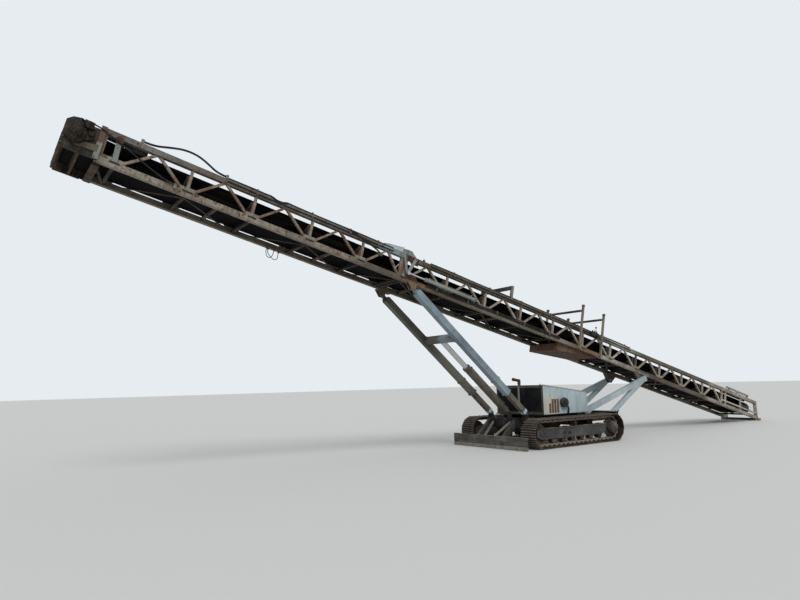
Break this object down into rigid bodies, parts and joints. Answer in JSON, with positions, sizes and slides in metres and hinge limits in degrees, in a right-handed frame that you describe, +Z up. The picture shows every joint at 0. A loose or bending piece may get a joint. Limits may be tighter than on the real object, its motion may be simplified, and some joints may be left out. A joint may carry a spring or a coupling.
{
  "type": "tracked stacking conveyor",
  "caption": "Tracked stacking conveyor: long folding lattice boom with a troughed belt, carried on crawler tracks by telescopic masts and rear struts, with a power pack between.",
  "frame": {"origin": "on the ground under the machine's centreline, half way between the tail end and the head end", "axes": "+X towards the discharge head, +Y to the machine's left, +Z up"},
  "size_m": [22.0159, 2.55, 5.9557],
  "materials": {
    "wheel_steel": "dusty cast steel",
    "undercarriage_paint": "weathered dark paint",
    "track_steel": "rusty track steel",
    "belt_rubber": "worn belt rubber",
    "hose_rubber": "hose rubber",
    "roller_steel": "worn roller steel",
    "drum_rubber": "lagged drum",
    "chrome_rod": "chromed rod",
    "boom_paint": "faded grey-green paint with rust",
    "engine_iron": "oily iron",
    "bare_plate": "worn plate",
    "dark_paint": "dark paint",
    "blue_grey_paint": "blue-grey paint",
    "pack_paint": "pale blue-grey paint"
  },
  "bodies": {
    "door": {"pack_door": "pack_paint"},
    "mast_lower": {"mast_legs": "blue_grey_paint", "lift_ram_barrel": "blue_grey_paint"},
    "mast_upper": {"mast_sleeves": "blue_grey_paint", "lift_ram_rod": "chrome_rod"},
    "fold_lever": {"fold_levers": "blue_grey_paint"},
    "fold_link": {"fold_links": "blue_grey_paint"},
    "fold_barrel": {"fold_barrels": "blue_grey_paint"},
    "fold_rod": {"fold_rods": "chrome_rod"},
    "head_boom": {"truss_head_left": "boom_paint", "truss_head_right": "boom_paint", "laces_head": "boom_paint", "idlers_head": "roller_steel", "return_rollers_head": "roller_steel", "belt_head": "belt_rubber", "head_drum": "drum_rubber", "head_plates": "boom_paint", "drive_motor": "engine_iron", "head_crossplate": "boom_paint", "hose_arch": "hose_rubber", "hose_head": "hose_rubber", "cable_loop_upper": "hose_rubber", "cable_loop_lower": "hose_rubber"},
    "main_boom": {"truss_main_left": "boom_paint", "truss_main_right": "boom_paint", "laces_main": "boom_paint", "idlers_main": "roller_steel", "return_rollers_main": "roller_steel", "belt_main": "belt_rubber", "tail_drum": "drum_rubber", "tail_skid": "boom_paint", "rest_hoops": "boom_paint", "belly_pan": "boom_paint"},
    "chassis": {"air_filter": "dark_paint", "chassis_frame": "dark_paint", "engine_block": "engine_iron", "exhaust_pipe": "dark_paint", "front_plate": "bare_plate", "pack_front_panels": "dark_paint", "pack_shell": "pack_paint", "strut_left": "blue_grey_paint", "strut_right": "blue_grey_paint", "track_frame_left": "undercarriage_paint", "track_frame_right": "undercarriage_paint", "track_left": "track_steel", "track_right": "track_steel", "track_wheels_left": "wheel_steel", "track_wheels_right": "wheel_steel"}
  },
  "joints": [
    {"name": "boom_lift", "type": "hinge", "parent": "chassis", "child": "main_boom", "pos_m": [-4.10765, 0, 1.54], "axis": [0, 1, 0], "range_deg": [0, 12]},
    {"name": "head_fold", "type": "hinge", "parent": "main_boom", "child": "head_boom", "pos_m": [4.18229, 0, 4.44567], "axis": [0, -1, 0], "range_deg": [0, 176.5]},
    {"name": "mast_swing", "type": "hinge", "parent": "chassis", "child": "mast_lower", "pos_m": [0.86235, 0, 0.8], "axis": [0, 1, 0], "range_deg": [0, 23.82]},
    {"name": "mast_slide", "type": "slide", "parent": "mast_lower", "child": "mast_upper", "axis": [-0.7584, 0, -0.6518], "range_m": [0, 0.64009]},
    {"name": "lever_swing", "type": "hinge", "parent": "main_boom", "child": "fold_lever", "pos_m": [4.0663, 0, 4.2886], "axis": [0, -1, 0], "range_deg": [0, 73.59]},
    {"name": "link_swing", "type": "hinge", "parent": "fold_lever", "child": "fold_link", "pos_m": [4.31731, 0, 3.96442], "axis": [0, -1, 0], "range_deg": [0, 14.44]},
    {"name": "fold_ram_swing", "type": "hinge", "parent": "main_boom", "child": "fold_barrel", "pos_m": [2.41183, 0, 3.48945], "axis": [0, -1, 0], "range_deg": [0, 10.98]},
    {"name": "fold_ram_slide", "type": "slide", "parent": "fold_barrel", "child": "fold_rod", "axis": [0.9703, 0, 0.2419], "range_m": [0, 0.28307]},
    {"name": "pack_door_swing", "type": "hinge", "parent": "chassis", "child": "door", "pos_m": [0.16935, -0.809, 1], "axis": [0, 0, 1], "range_deg": [0, 110]}
  ],
  "couplings": [
    {"joint": "mast_swing", "follows": "boom_lift", "ratio": 1.9843},
    {"joint": "mast_slide", "follows": "boom_lift", "m_per_rad": 3.0514},
    {"joint": "lever_swing", "follows": "head_fold", "ratio": 0.41689},
    {"joint": "link_swing", "follows": "head_fold", "ratio": 0.081756},
    {"joint": "fold_ram_swing", "follows": "head_fold", "ratio": 0.062174},
    {"joint": "fold_ram_slide", "follows": "head_fold", "m_per_rad": 0.091729}
  ]
}
